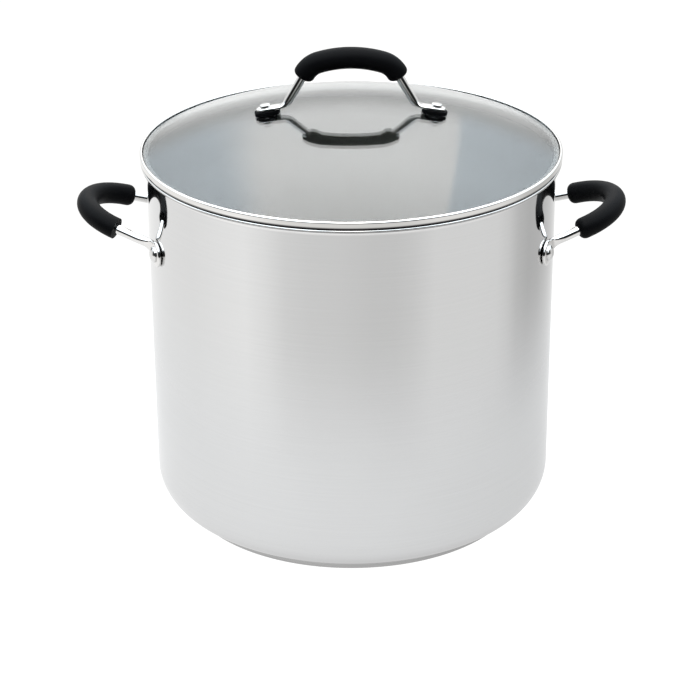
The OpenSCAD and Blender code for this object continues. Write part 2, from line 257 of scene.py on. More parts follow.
def loft(name, rings, material, closed=False, place=None):
    """Skins rings of points; an open skin is capped at both ends."""
    bm = bmesh.new()
    loops = [[bm.verts.new(point) for point in ring] for ring in rings]
    count = len(loops)
    sides = len(loops[0])
    for i in range(count if closed else count - 1):
        here = loops[i]
        after = loops[(i + 1) % count]
        for j in range(sides):
            k = (j + 1) % sides
            bm.faces.new((here[j], here[k], after[k], after[j]))
    if not closed:
        bm.faces.new(loops[0])
        bm.faces.new(reversed(loops[-1]))
    if place is not None:
        bmesh.ops.transform(bm, matrix=place, verts=bm.verts)
    return finish_mesh(name, bm, [material])


def section(centre, across, through, wide, thick, sides=ROD_SIDES, power=1.0):
    """Ring of a superellipse around a point; power under 1 squares it off."""
    points = []
    for i in range(sides):
        angle = 2 * math.pi * i / sides
        c = math.cos(angle)
        s = math.sin(angle)
        reach_c = math.copysign(abs(c) ** power, c)
        reach_s = math.copysign(abs(s) ** power, s)
        points.append(centre + across * (wide * reach_c) + through * (thick * reach_s))
    return points


def headings(path):
    """Unit headings along a path of points."""
    last = len(path) - 1
    return [(path[min(i + 1, last)] - path[max(i - 1, 0)]).normalized() for i in range(last + 1)]


def bore(piece, places, radius, low, high):
    """Cuts a round hole along the Z axis of each place, from low to high."""
    cutters = []
    for place in places:
        bm = bmesh.new()
        middle = Matrix.Translation((0, 0, (low + high) / 2))
        bmesh.ops.create_cone(bm, cap_ends=True, segments=BORE_SIDES, radius1=radius,
                              radius2=radius, depth=high - low, matrix=place @ middle)
        cutter = finish_mesh("cutter", bm, [])
        cutters.append(cutter)
        cut = piece.modifiers.new("bore", "BOOLEAN")
        cut.operation = "DIFFERENCE"
        cut.solver = "EXACT"
        cut.object = cutter
    bpy.context.view_layer.update()
    graph = bpy.context.evaluated_depsgraph_get()
    drilled = bpy.data.meshes.new_from_object(piece.evaluated_get(graph))
    piece.modifiers.clear()
    piece.data = drilled
    drilled.name = piece.name
    for cutter in cutters:
        bpy.data.objects.remove(cutter)


def own(piece, body, slot, *nodes):
    """Sets a piece's body and hides the CAD nodes that it stands for. The slot is not used."""
    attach(piece, body)
    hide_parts(*nodes)
    return piece


# ---------- Materials ----------

# The part of a noise's range that is spread over the whole of what it drives
NOISE_LOW = 0.3
NOISE_HIGH = 0.7


def add_node(tree, kind, inputs=None, **settings):
    """Adds a node, sets its own settings, and links or sets its inputs."""
    node = tree.nodes.new(kind)
    for key, value in settings.items():
        setattr(node, key, value)
    for key, value in (inputs or {}).items():
        if isinstance(value, bpy.types.NodeSocket):
            tree.links.new(value, node.inputs[key])
        else:
            node.inputs[key].default_value = value
    return node


class Shader:
    """One material with a Principled shader, and short calls that add nodes to it."""

    def __init__(self, name, sockets):
        self.material = bpy.data.materials.new(name)
        self.material.use_nodes = True
        self.tree = self.material.node_tree
        self.surface = self.tree.nodes["Principled BSDF"]
        for socket, value in sockets.items():
            self.surface.inputs[socket].default_value = value
        self.place = self.add("ShaderNodeTexCoord").outputs["Object"]

    def add(self, kind, inputs=None, **settings):
        return add_node(self.tree, kind, inputs, **settings)

    def math(self, operation, a, b=0.0):
        return self.add("ShaderNodeMath", {0: a, 1: b}, operation=operation).outputs[0]

    def ramp(self, value, span, low, high, **settings):
        """Maps a value's span (first, last) to a range from low to high."""
        inputs = {"Value": value, "From Min": span[0], "From Max": span[1],
                  "To Min": low, "To Max": high}
        return self.add("ShaderNodeMapRange", inputs, **settings).outputs["Result"]

    def noise(self, vector, scale, detail=2.0):
        node = self.add("ShaderNodeTexNoise", {"Vector": vector, "Scale": scale, "Detail": detail})
        return node.outputs["Fac"]

    def spread(self, value, low, high):
        """Maps a noise, which stays near one half, to a range."""
        return self.ramp(value, (NOISE_LOW, NOISE_HIGH), low, high)

    def blend(self, factor, first, second):
        """Mixes two colours."""
        node = self.add("ShaderNodeMix", {"Factor": factor}, data_type="RGBA")
        node.inputs[6].default_value = (*first, 1)
        node.inputs[7].default_value = (*second, 1)
        return node.outputs[2]

    def feed(self, socket, value):
        self.tree.links.new(value, self.surface.inputs[socket])

    def bump(self, height, strength, distance):
        node = self.add("ShaderNodeBump", {"Height": height, "Strength": strength,
                                           "Distance": distance})
        self.feed("Normal", node.outputs["Normal"])


def lathe_lines(shader, pitch):
    """Noise drawn out into fine lines around Z, on walls and on flat floors alike."""
    along_line = 14.0
    parts = shader.add("ShaderNodeSeparateXYZ", {0: shader.place})
    square = shader.math("ADD", shader.math("MULTIPLY", parts.outputs[0], parts.outputs[0]),
                         shader.math("MULTIPLY", parts.outputs[1], parts.outputs[1]))
    depth = shader.math("ADD", parts.outputs[2], shader.math("SQRT", square))
    stretched = shader.add("ShaderNodeCombineXYZ", {
        0: shader.math("MULTIPLY", parts.outputs[0], along_line),
        1: shader.math("MULTIPLY", parts.outputs[1], along_line),
        2: shader.math("MULTIPLY", depth, 1.0 / pitch)})
    return shader.noise(stretched.outputs[0], 1.0, 3.0)


def turned_steel(name, light, dark, rough, spread, pitch, relief, anisotropic, painted_shade=None):
    """Steel brushed around Z: fine lines in its colour, roughness and relief.
    Painted shade (low, high, level) darkens the colour below a height, for the shade in a tight
    crevice."""
    shader = Shader(name, {"Metallic": 1.0, "Anisotropic": anisotropic,
                           "Anisotropic Rotation": 0.25})
    lines = lathe_lines(shader, pitch)
    colour = shader.blend(shader.spread(lines, 0.0, 1.0), dark, light)
    # Painted shade: the colour is scaled down below a height, for crevice shade
    if painted_shade:
        height = shader.add("ShaderNodeSeparateXYZ", {0: shader.place}).outputs[2]
        clear = shader.ramp(height, painted_shade[:2], painted_shade[2], 1.0)
        scaled = shader.add("ShaderNodeVectorMath", {0: colour, "Scale": clear}, operation="SCALE")
        colour = scaled.outputs[0]
    shader.feed("Base Color", colour)
    shader.feed("Roughness", shader.spread(lines, rough - spread, rough + spread))
    shader.bump(lines, relief, 0.02 * MM)
    tangent = shader.add("ShaderNodeTangent", direction_type="RADIAL", axis="Z")
    shader.feed("Tangent", tangent.outputs[0])
    return shader.material


def bright_steel(name, light, dark, rough):
    """Polished steel with faint buffing marks over slow clouds of colour and gloss."""
    shader = Shader(name, {"Metallic": 1.0})
    marks = shader.noise(shader.place, 900.0, 4.0)
    clouds = shader.noise(shader.place, 75.0)
    shader.feed("Base Color", shader.blend(shader.spread(clouds, 0.0, 1.0), dark, light))
    shader.feed("Roughness", shader.spread(clouds, rough * 0.7, rough * 1.4))
    shader.bump(marks, 0.06, 0.01 * MM)
    return shader.material


def black_silicone(name):
    """Matte moulded silicone: a fine pebbled skin that greys a little with handling."""
    shader = Shader(name, {"Specular IOR Level": 0.045})
    grain = shader.noise(shader.place, 3200.0, 2.0)
    clouds = shader.noise(shader.place, 60.0, 3.0)
    shader.feed("Base Color", shader.blend(shader.spread(clouds, 0.0, 1.0),
                                           (0.0020, 0.0021, 0.0025), (0.0034, 0.0036, 0.0042)))
    shader.feed("Roughness", shader.spread(clouds, 0.42, 0.54))
    shader.bump(grain, 0.18, 0.05 * MM)
    return shader.material


def tempered_glass(name):
    """Clear glass with a faint cool tint that drifts a little."""
    shader = Shader(name, {"Roughness": 0.0, "IOR": 1.5, "Transmission Weight": 1.0})
    clouds = shader.noise(shader.place, 9.0, 2.0)
    shader.feed("Base Color", shader.blend(shader.spread(clouds, 0.0, 1.0),
                                           (0.90, 0.935, 0.935), (0.925, 0.955, 0.955)))
    return shader.material


# The wall's colour gets painted shade just above the base cap, for the crevice between the corner
# and the cap
WALL_STEEL = turned_steel(
    "wall_steel", (0.675, 0.675, 0.675), (0.655, 0.655, 0.655), rough=0.055, spread=0.005,
    pitch=0.35 * MM, relief=0.01, anisotropic=0.2, painted_shade=(7.0 * MM, 10.5 * MM, 0.42))
# The inside is the same steel brushed rougher; its colour is darkened far below the wall's as
# painted shade for the inside under the lid
SHADED_INSIDE_STEEL = turned_steel(
    "shaded_inside_steel", (0.31, 0.305, 0.285), (0.255, 0.25, 0.235), rough=0.32, spread=0.04,
    pitch=0.5 * MM, relief=0.15, anisotropic=0.75)
CAP_STEEL = turned_steel(
    "cap_steel", (0.54, 0.535, 0.53), (0.47, 0.47, 0.47), rough=0.16, spread=0.03,
    pitch=0.4 * MM, relief=0.10, anisotropic=0.5)
CORE_METAL = turned_steel(
    "core_metal", (0.66, 0.67, 0.68), (0.56, 0.57, 0.58), rough=0.40, spread=0.05,
    pitch=0.5 * MM, relief=0.2, anisotropic=0.5)
# The band's underside by its seat gets painted shade, for the crevice between the band and the
# bead
BAND_STEEL = turned_steel(
    "band_steel", (0.78, 0.77, 0.75), (0.72, 0.71, 0.695), rough=0.06, spread=0.01,
    pitch=0.25 * MM, relief=0.02, anisotropic=0.2,
    painted_shade=(SEAT_Z + 0.8 * MM, SEAT_Z + 1.7 * MM, 0.02))
# The bead's underside gets painted shade, for the crevice between the bead and the flare
BEAD_STEEL = turned_steel(
    "bead_steel", (0.78, 0.775, 0.765), (0.72, 0.715, 0.71), rough=0.05, spread=0.01,
    pitch=0.25 * MM, relief=0.02, anisotropic=0.2,
    painted_shade=(MOUTH_Z - 1.5 * MM, MOUTH_Z - 0.8 * MM, 0.09))
LIP_STEEL = bright_steel("lip_steel", (0.78, 0.775, 0.765), (0.72, 0.715, 0.71), 0.05)
ROD_STEEL = bright_steel("rod_steel", (0.80, 0.79, 0.775), (0.73, 0.72, 0.71), 0.045)
RIVET_STEEL = bright_steel("rivet_steel", (0.74, 0.735, 0.725), (0.66, 0.655, 0.65), 0.13)
SILICONE = black_silicone("black_silicone")
GLASS = tempered_glass("lid_glass_clear")


# ---------- Pot and base ----------

def make_pot():
    """The shell: outside wall and corner, flared lip, rolled bead and inside, with rivet holes."""
    corner_x = WALL_R - CORNER_R
    corner_z = BASE_H + CORNER_R
    bead_x = POT_HIGH.x - BEAD_R
    bead_z = MOUTH_Z - BEAD_R
    flare_x = WALL_R + FLARE_R
    flare_z = bead_z - (FLARE_R + WALL_T / 2) * math.sin(BEAD_AT)
    flare_stop = BEAD_AT + BEAD_LAP
    bead_open = math.asin(WALL_T / 2 / BEAD_R)
    outside = (line((0, BASE_H), (corner_x, BASE_H), 24)
               + arc(corner_x, corner_z, CORNER_R, -HALF_PI, 0, 28)
               + line((WALL_R, corner_z), (WALL_R, flare_z), 40))
    flare = arc(flare_x, flare_z, FLARE_R, math.pi, flare_stop, 12)
    bead = arc(bead_x, bead_z, BEAD_R, BEAD_AT + HALF_PI + bead_open - 2 * math.pi,
               BEAD_AT + HALF_PI - bead_open, 28)
    inner_flare = arc(flare_x, flare_z, FLARE_R + WALL_T, flare_stop, math.pi, 12)
    inner_r = WALL_R - WALL_T
    floor_z = BASE_H + WALL_T
    inside = (line((inner_r, flare_z), (inner_r, corner_z), 40)
              + arc(corner_x, corner_z, CORNER_R - WALL_T, 0, -HALF_PI, 28)
              + line((corner_x, floor_z), (0, floor_z), 24))
    pot = lathe("pot_shell", [(WALL_STEEL, outside), (LIP_STEEL, flare), (BEAD_STEEL, bead),
                              (LIP_STEEL, inner_flare), (SHADED_INSIDE_STEEL, inside)], closed=False)
    places = [rivet_place(side, end) for side in (-1, 1) for end in (-1, 1)]
    bore(pot, places, SHANK_R + SLIP, -5 * WALL_T, 5 * WALL_T)
    own(pot, "pot", "pot_steel", "pot_body")


def make_base():
    """The dished cap that wraps the bonded core."""
    edge = CAP_EDGE_R
    nick = CAP_NICK_R
    inner = BASE_R - CAP_T
    outline = (line((0, 0), (BASE_R - edge, 0), 20)
               + arc(BASE_R - edge, edge, edge, -HALF_PI, 0, 10)
               + line((BASE_R, edge), (BASE_R, BASE_H - nick), 4)
               + arc(BASE_R - nick, BASE_H - nick, nick, 0, HALF_PI, 3)
               + [(inner, BASE_H)]
               + line((inner, BASE_H), (inner, CAP_T), 4)
               + line((inner, CAP_T), (0, CAP_T), 20))
    cap = lathe("base_dish", [(CAP_STEEL, outline)], closed=False)
    own(cap, "pot", "base_steel", "base_cap")


# ---------- Side handles ----------

def rivet_place(side, end):
    """Frame at one side rivet: +Z outwards, from the wall's outer face."""
    angle = end * RIVET_ANGLE if side > 0 else math.pi - end * RIVET_ANGLE
    turn = Matrix.Rotation(angle, 4, "Z") @ Matrix.Translation((WALL_R, 0, RIVET_Z))
    return turn @ Matrix.Rotation(HALF_PI, 4, "Y")


def in_loop_plane(along, out):
    """A point of the right handle's plane: out from the wall, and along it."""
    lift = out * math.sin(HANDLE_TILT)
    return Vector((WALL_R + out * math.cos(HANDLE_TILT), along, HANDLE_Z + lift))


def loop_points(front, rear, steps=64, leg_steps=8):
    """The rod's centre line around the loop, with a stretch of the front and the rear leg."""
    half = HALF_PI - TOE_IN
    points = []
    for i in range(-leg_steps, steps + leg_steps + 1):
        turn = -half + 2 * half * min(max(i, 0), steps) / steps
        leg = front if i < 0 else rear
        past = max(-i, i - steps, 0) / leg_steps * leg
        end = 1 if turn > 0 else -1
        out = LOOP_X + LOOP_R * math.cos(turn) - past * math.cos(TOE_IN)
        along = LOOP_R * math.sin(turn) + end * past * math.sin(TOE_IN)
        points.append(in_loop_plane(along, out))
    return points


def forged_end(start, heading, place, foot, rod_r, toward):
    """Stations (point, half width, half thickness, power) from a rod into its flat foot.
    foot is (half width, outer end, neck, thickness): the neck is how far inside the rivet the
    foot is fully flat, and the outer end is how far outside it the foot ends."""
    rod_pull = 0.42
    foot_pull = 0.40
    widen_from = 0.35
    square_off = 0.45
    bend_steps = 16
    foot_steps = 28
    edge_power = 10
    half, tip, neck_in, thick = foot
    centre = place @ Vector((0, 0, thick / 2 + SLIP))
    normal = (place.to_3x3() @ Vector((0, 0, 1))).normalized()
    along = toward - normal * toward.dot(normal)
    along.normalize()

    def half_width(out):
        round_from = tip - half
        if round_from > 0 and out < round_from:
            return half
        return math.sqrt(max(half ** 2 - (out - round_from) ** 2, 0))

    neck = centre - along * neck_in
    reach = (neck - start).length
    bend_a = start + heading * (reach * rod_pull)
    bend_b = neck - along * (reach * foot_pull)
    stations = []
    for i in range(1, bend_steps + 1):
        t = i / bend_steps
        ease = t * t * (3 - 2 * t)
        grow = max(0.0, (t - widen_from) / (1 - widen_from)) ** 2
        point = (start * (1 - t) ** 3 + bend_a * (3 * t * (1 - t) ** 2)
                 + bend_b * (3 * t * t * (1 - t)) + neck * t ** 3)
        stations.append((point, rod_r + (half_width(-neck_in) - rod_r) * grow,
                         rod_r + (thick / 2 - rod_r) * ease, 1 - square_off * ease))
    middle = (tip - neck_in) / 2
    span = (tip + neck_in) / 2
    for i in range(1, foot_steps + 1):
        out = middle - span * math.cos(math.pi * (0.15 + 0.84 * i / foot_steps))
        if out <= -neck_in:
            continue
        edge = math.sqrt(1 - min(max(out / tip, 0), 0.999) ** edge_power)
        stations.append((centre + along * out, half_width(out), thick / 2 * edge, 1 - square_off))
    return stations


def rod_with_feet(name, stations, lean):
    """Skins a rod from stations; lean(point) is the way the flat feet face."""
    path = [station[0] for station in stations]
    rings = []
    for (point, wide, thick, power), heading in zip(stations, headings(path)):
        through = lean(point)
        through = (through - heading * through.dot(heading)).normalized()
        across = heading.cross(through)
        rings.append(section(point, across, through, wide, thick, power=power))
    return loft(name, rings, ROD_STEEL)


def side_lean(point):
    """The wall's outward normal, drawn from the handle's middle out to its feet."""
    reach = WALL_R * math.sin(RIVET_ANGLE)
    angle = RIVET_ANGLE * max(-1.0, min(1.0, point.y / reach))
    return Vector((math.cos(angle), math.sin(angle), 0))


def make_side_handle(side, word):
    """One loop handle, made on the right and mirrored for the left: the rod and its sleeve."""
    loop = loop_points(LEG_REACH, LEG_REACH)
    front = headings(loop)[0]
    place = rivet_place(1, -1)
    foot = place @ Vector((0, 0, FOOT_T / 2))
    shape = (FOOT_R, FOOT_R, FOOT_NECK, FOOT_T)
    outer = forged_end(loop[0], -front, place, shape, ROD_R, foot - loop[0])
    mirrored = [(Vector((p.x, -p.y, p.z)), wide, thick, power) for p, wide, thick, power in outer]
    plain = [(point, ROD_R, ROD_R, 1.0) for point in loop]
    rod = rod_with_feet(word + "_loop_rod", outer[::-1] + plain + mirrored, side_lean)
    bore(rod, [rivet_place(1, -1), rivet_place(1, 1)], SHANK_R + SLIP, -1 * MM, 8 * MM)
    front_leg = SLEEVE_LEG - (LEFT_SLEEVE_SHORT if side < 0 else 0)
    sleeve = make_sleeve(word + "_loop_sleeve", loop_points(front_leg, SLEEVE_LEG),
                         ROD_R + SLIP, SLEEVE_R, SLEEVE_MOUTH, side_lean)
    if side < 0:
        for piece in (rod, sleeve):
            mirror_mesh(piece)
    own(rod, "pot", "bright_steel", word + "_handle_rod")
    own(sleeve, "pot", "black_silicone", word + "_handle_sleeve")


def mirror_mesh(piece):
    """Mirrors a mesh across the YZ plane."""
    piece.data.transform(Matrix.Scale(-1, 4, (1, 0, 0)))
    piece.data.flip_normals()


def make_sleeve(name, path, inner, outer, mouth, lean):
    """A hollow sleeve along a path, with rounded mouths of a given length."""
    steps = 10
    ways = headings(path)
    profile = []
    for i in range(steps):
        turn = HALF_PI * i / steps
        profile.append((mouth * math.cos(turn), outer - SLEEVE_ROUND * (1 - math.sin(turn))))
    stations = [(path[0] + ways[0] * -past, ways[0], radius) for past, radius in profile]
    stations += [(point, way, outer) for point, way in zip(path, ways)]
    stations += [(path[-1] + ways[-1] * past, ways[-1], radius) for past, radius in profile[::-1]]
    bored = [(path[0] - ways[0] * mouth, ways[0], inner)]
    bored += [(point, way, inner) for point, way in zip(path, ways)]
    bored += [(path[-1] + ways[-1] * mouth, ways[-1], inner)]
    rings = []
    for point, way, radius in stations + bored[::-1]:
        through = lean(point)
        through = (through - way * through.dot(way)).normalized()
        rings.append(section(point, way.cross(through), through, radius, radius))
    return loft(name, rings, SILICONE, closed=True)


def make_side_rivet(side, end, node):
    """One domed rivet through the wall and a handle's foot."""
    dome = HEAD_H - HEAD_RIM
    cap_r = (HEAD_R * HEAD_R + dome * dome) / (2 * dome)
    top = FOOT_T + 2 * SLIP
    half = math.asin(HEAD_R / cap_r)
    tail = -WALL_T - TAIL_GAP
    edge = TAIL_EDGE_R
    outline = (line((0, tail - TAIL_H), (TAIL_R - edge, tail - TAIL_H), 6)
               + arc(TAIL_R - edge, tail - TAIL_H + edge, edge, -HALF_PI, 0, 6)
               + [(TAIL_R, tail), (SHANK_R, tail)]
               + line((SHANK_R, tail), (SHANK_R, top), 4)
               + line((HEAD_R, top), (HEAD_R, top + HEAD_RIM), 3)
               + arc(0, top + HEAD_H - cap_r, cap_r, HALF_PI - half, HALF_PI, 20)[1:])
    rivet = lathe(node + "_domed", [(RIVET_STEEL, outline)], closed=False, turns=RIVET_TURNS,
                  place=rivet_place(side, end))
    own(rivet, "pot", "rivet_steel", node)


# ---------- Lid ----------

def foot_place(side):
    """Frame on the glass at one handle foot: +Z along the glass's normal."""
    turn = Matrix.Translation((0, 0, DOME_Z)) @ Matrix.Rotation(side * FOOT_SLOPE, 4, "Y")
    return turn @ Matrix.Translation((0, 0, DOME_R))


def make_glass():
    """The domed glass, with a flat ground edge and the two holes for the handle."""
    inner = DOME_R - GLASS_T
    edge_angle = math.acos(GLASS_EDGE / DOME_R)
    inner_angle = math.asin((GLASS_LOW.z - DOME_Z) / inner)
    top = arc(0, DOME_Z, DOME_R, HALF_PI, edge_angle, 64)
    low = arc(0, DOME_Z, inner, inner_angle, HALF_PI, 64)
    rim = line(top[-1], (GLASS_EDGE, GLASS_LOW.z), 4) + line((GLASS_EDGE, GLASS_LOW.z), low[0], 2)
    glass = lathe("glass_dome", [(GLASS, top + rim + low)], closed=False)
    bore(glass, [foot_place(-1), foot_place(1)], HOLE_R, -10 * MM, 10 * MM)
    own(glass, "lid", "lid_glass", "lid_glass")


def make_band():
    """The rolled band: a hem over the glass, the rim, the seat and the skirt inside the mouth."""
    fold = FOLD_R
    inner = fold - BAND_T
    hem = HEM_EDGE_R
    skirt_low = BAND_LOW.z
    skirt_in = SKIRT_X - BAND_T
    seat_top = SEAT_Z + BAND_T
    outline = (arc(HEM_X + hem, BAND_TOP - hem, hem, math.pi, HALF_PI, 4)
               + line((HEM_X + hem, BAND_TOP), (BAND_R - fold, BAND_TOP), 3)
               + arc(BAND_R - fold, BAND_TOP - fold, fold, HALF_PI, 0, 10)
               + line((BAND_R, BAND_TOP - fold), (BAND_R, SEAT_Z + fold), 6)
               + arc(BAND_R - fold, SEAT_Z + fold, fold, 0, -HALF_PI, 10)
               + line((BAND_R - fold, SEAT_Z), (SKIRT_X, SEAT_Z), 5)
               + line((SKIRT_X, SEAT_Z), (SKIRT_X, skirt_low + 0.1 * MM), 5)
               + arc(SKIRT_X - BAND_T / 2, skirt_low + BAND_T / 2, BAND_T / 2, 0, -math.pi, 8)
               + line((skirt_in, skirt_low + BAND_T), (skirt_in, seat_top), 5)
               + line((skirt_in, seat_top), (BAND_R - fold, seat_top), 5)
               + arc(BAND_R - fold, SEAT_Z + fold, inner, -HALF_PI, 0, 6)
               + line((BAND_R - BAND_T, SEAT_Z + fold), (BAND_R - BAND_T, BAND_TOP - fold), 4)
               + arc(BAND_R - fold, BAND_TOP - fold, inner, 0, HALF_PI, 6)
               + [(HEM_X, BAND_TOP - BAND_T)])
    band = lathe("rim_band", [(BAND_STEEL, outline)])
    own(band, "lid", "band_steel", "lid_band")


def bow_points(steps=18):
    """The lid handle's centre line: the shallow bow between its two tighter bends."""
    bend_x = (BOW_R - BEND_R) * math.sin(BOW_HALF)
    bend_z = BOW_TOP - BOW_R + (BOW_R - BEND_R) * math.cos(BOW_HALF)
    left = arc(-bend_x, bend_z, BEND_R, HALF_PI + LEG_DROP, HALF_PI + BOW_HALF, steps)
    middle = arc(0, BOW_TOP - BOW_R, BOW_R, HALF_PI + BOW_HALF, HALF_PI - BOW_HALF, steps)
    right = arc(bend_x, bend_z, BEND_R, HALF_PI - BOW_HALF, HALF_PI - LEG_DROP, steps)
    return [Vector((x, 0, z)) for x, z in left + middle[1:-1] + right]


def make_lid_handle():
    """The bow handle: the sleeved bow, straight legs and feet that lie along the glass."""
    leg_steps = 8
    bow = bow_points()
    way = Vector((math.cos(LEG_DROP), 0, -math.sin(LEG_DROP)))
    over_foot = bow[-1] + ANKLE_R * Vector((math.sin(LEG_DROP) - math.sin(FOOT_SLOPE), 0,
                                            math.cos(LEG_DROP) - math.cos(FOOT_SLOPE)))
    drop = (foot_place(1).inverted() @ over_foot).z - PAD_T - SLIP - LID_ROD_R
    leg_len = drop / math.sin(LEG_DROP - FOOT_SLOPE)
    leg = [bow[-1] + way * (leg_len * i / leg_steps) for i in range(1, leg_steps + 1)]
    shape = (LID_FOOT_R, LID_FOOT_OUT, LID_FOOT_NECK, LID_FOOT_T)
    outer = forged_end(leg[-1], way, foot_place(1) @ Matrix.Translation((0, 0, PAD_T)),
                       shape, LID_ROD_R, Vector((1, 0, 0)))
    half = [(point, LID_ROD_R, LID_ROD_R, 1.0) for point in leg] + outer
    other = [(Vector((-p.x, p.y, p.z)), wide, thick, power) for p, wide, thick, power in half]
    plain = [(point, LID_ROD_R, LID_ROD_R, 1.0) for point in bow]

    def up(point):
        return Vector((0, 0, 1))

    rod = rod_with_feet("bow_rod", other[::-1] + plain + half, up)
    bore(rod, [foot_place(-1), foot_place(1)], LID_SHANK_R + SLIP, 1 * MM, 8 * MM)
    sleeve = make_sleeve("bow_sleeve", bow, LID_ROD_R + SLIP, LID_SLEEVE_R, SLEEVE_ROUND, up)
    own(rod, "lid", "bright_steel", "lid_handle_rod")
    own(sleeve, "lid", "black_silicone", "lid_handle_sleeve")


def make_pad(side, word):
    """The soft pad under one foot: a stadium with rounded edges."""
    edge = PAD_EDGE_R
    edge_steps = 5
    turns = [HALF_PI * i / edge_steps for i in range(edge_steps + 1)]
    flat_r = PAD_R - edge
    profile = [(flat_r + edge * math.sin(a), SLIP + edge * (1 - math.cos(a))) for a in turns]
    profile += [(flat_r + edge * math.cos(a), PAD_T - edge * (1 - math.sin(a))) for a in turns]
    outer_half = ROD_SIDES // 2
    rings = []
    for radius, height in profile:
        ring = []
        for j in range(ROD_SIDES + 2):
            outer = j <= outer_half
            end = PAD_OUT if outer else -PAD_IN
            angle = -HALF_PI + 2 * math.pi * (j if outer else j - 1) / ROD_SIDES
            along = side * (end + radius * math.cos(angle))
            ring.append(Vector((along, radius * math.sin(angle), height)))
        rings.append(ring)
    pad = loft(word + "_pad", rings, SILICONE, place=foot_place(side))
    bore(pad, [foot_place(side)], LID_SHANK_R + SLIP, -2 * MM, 6 * MM)
    own(pad, "lid", "black_silicone", word + "_foot_pad")


def make_lid_rivet(side, word):
    """The flat-headed rivet that holds one foot of the lid handle, down to its tail."""
    head_z = PAD_T + LID_FOOT_T + 2 * SLIP
    tail_z = -(GLASS_T + GASKET_T + WASHER_T + 2 * SLIP)
    low = tail_z - LID_TAIL_H
    top = head_z + LID_HEAD_H
    outline = rounded([(0, low, 0), (LID_TAIL_R, low, 0.5 * MM), (LID_TAIL_R, tail_z, 0),
                       (LID_SHANK_R, tail_z, 0), (LID_SHANK_R, head_z, 0),
                       (LID_HEAD_R, head_z, 0.15 * MM), (LID_HEAD_R, top, 0.35 * MM), (0, top, 0)])
    rivet = lathe(word + "_flat_rivet", [(RIVET_STEEL, outline)], closed=False, turns=RIVET_TURNS,
                  place=foot_place(side))
    own(rivet, "lid", "rivet_steel", word + "_lid_rivet")


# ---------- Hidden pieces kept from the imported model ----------

def dress(node, material):
    """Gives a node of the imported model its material."""
    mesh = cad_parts[node].data
    mesh.materials.clear()
    mesh.materials.append(material)


# ---------- The object ----------

make_pot()
make_base()
for side, word in ((-1, "left"), (1, "right")):
    make_side_handle(side, word)
    make_side_rivet(side, -1, word + "_front_rivet")
    make_side_rivet(side, 1, word + "_rear_rivet")
make_glass()
make_band()
make_lid_handle()
for side, word in ((-1, "left"), (1, "right")):
    make_pad(side, word)
    make_lid_rivet(side, word)
    dress(word + "_hole_sleeve", SILICONE)
    dress(word + "_lid_gasket", SILICONE)
    dress(word + "_lid_washer", RIVET_STEEL)
dress("base_core", CORE_METAL)


# ---------- Studio ----------

# Spans are (where it starts, where it is full). What the camera sees directly is plain white.
WHITE = 1.05
FLOOR_R = 0.56
FLOOR_DROP = 0.05 * MM
FLOOR_GLOW = 0.785
FLOOR_DRIFT = (-0.08, -0.07, 0.0)
FLOOR_SHADE = 0.85
FLOOR_SHADE_SPAN = (0.108, 0.135)
FLOOR_FADE_SPAN = (0.20, 0.52)

# Brightness of the room below the horizon, by degrees round from the front to the right
BANDS = [(-180, 0.98), (-152, 1.04), (-100, 1.05), (-76, 1.11), (-62, 1.14), (-49, 1.05),
         (-37, 0.92), (-24, 0.87), (-8, 0.85), (12, 0.80), (24, 0.80), (34, 0.84), (47, 0.94),
         (74, 0.94), (89, 0.92), (98, 0.84), (107, 0.69), (118, 0.61), (130, 0.62),
         (146, 0.72), (165, 0.86), (180, 0.98)]
HORIZON = 0.88
HORIZON_SPAN = (-0.05, 0.20)
CEILING = 1.9
CEILING_SPAN = (0.16, 0.42)
CEILING_RISE = (0.86, 1.85)
CEILING_RISE_SPAN = (0.34, 0.86)
SOFTBOX = 2.35
SOFTBOX_TURN = 0.109
SOFTBOX_HALF = 0.238
SOFTBOX_LEFT = 1.05
CRISP_SPAN = (-0.01, 0.01)
SOFT_SPAN = (-0.06, 0.06)

# The dark room in front: how dark, how far down, and the spans of the belt and of the stand
DARK = 0.025
DARK_SPAN = (-0.24, -0.16)
BELT_UP_SPAN = (0.34, 0.52)
BELT_BACK_SPAN = (-0.30, 0.15)
STAND_UP_SPAN = (0.62, 0.76)
STAND_BACK_SPAN = (-0.60, -0.45)
STAND_RIGHT_SPAN = (-0.35, -0.15)
PLAIN_TINT = (1.0, 1.0, 0.995, 1)
OVERHEAD_TINT = (0.90, 0.98, 1.04, 1)
OVERHEAD_SPAN = (0.12, 0.36)

CAMERA_PLACE = (0, -1.3416, 0.7155)
CAMERA_PITCH = math.radians(24.678)
CAMERA_ROLL = -0.0042
CAMERA_SENSOR = 36
CAMERA_LENS = 117.75
CAMERA_SHIFT = -0.00286


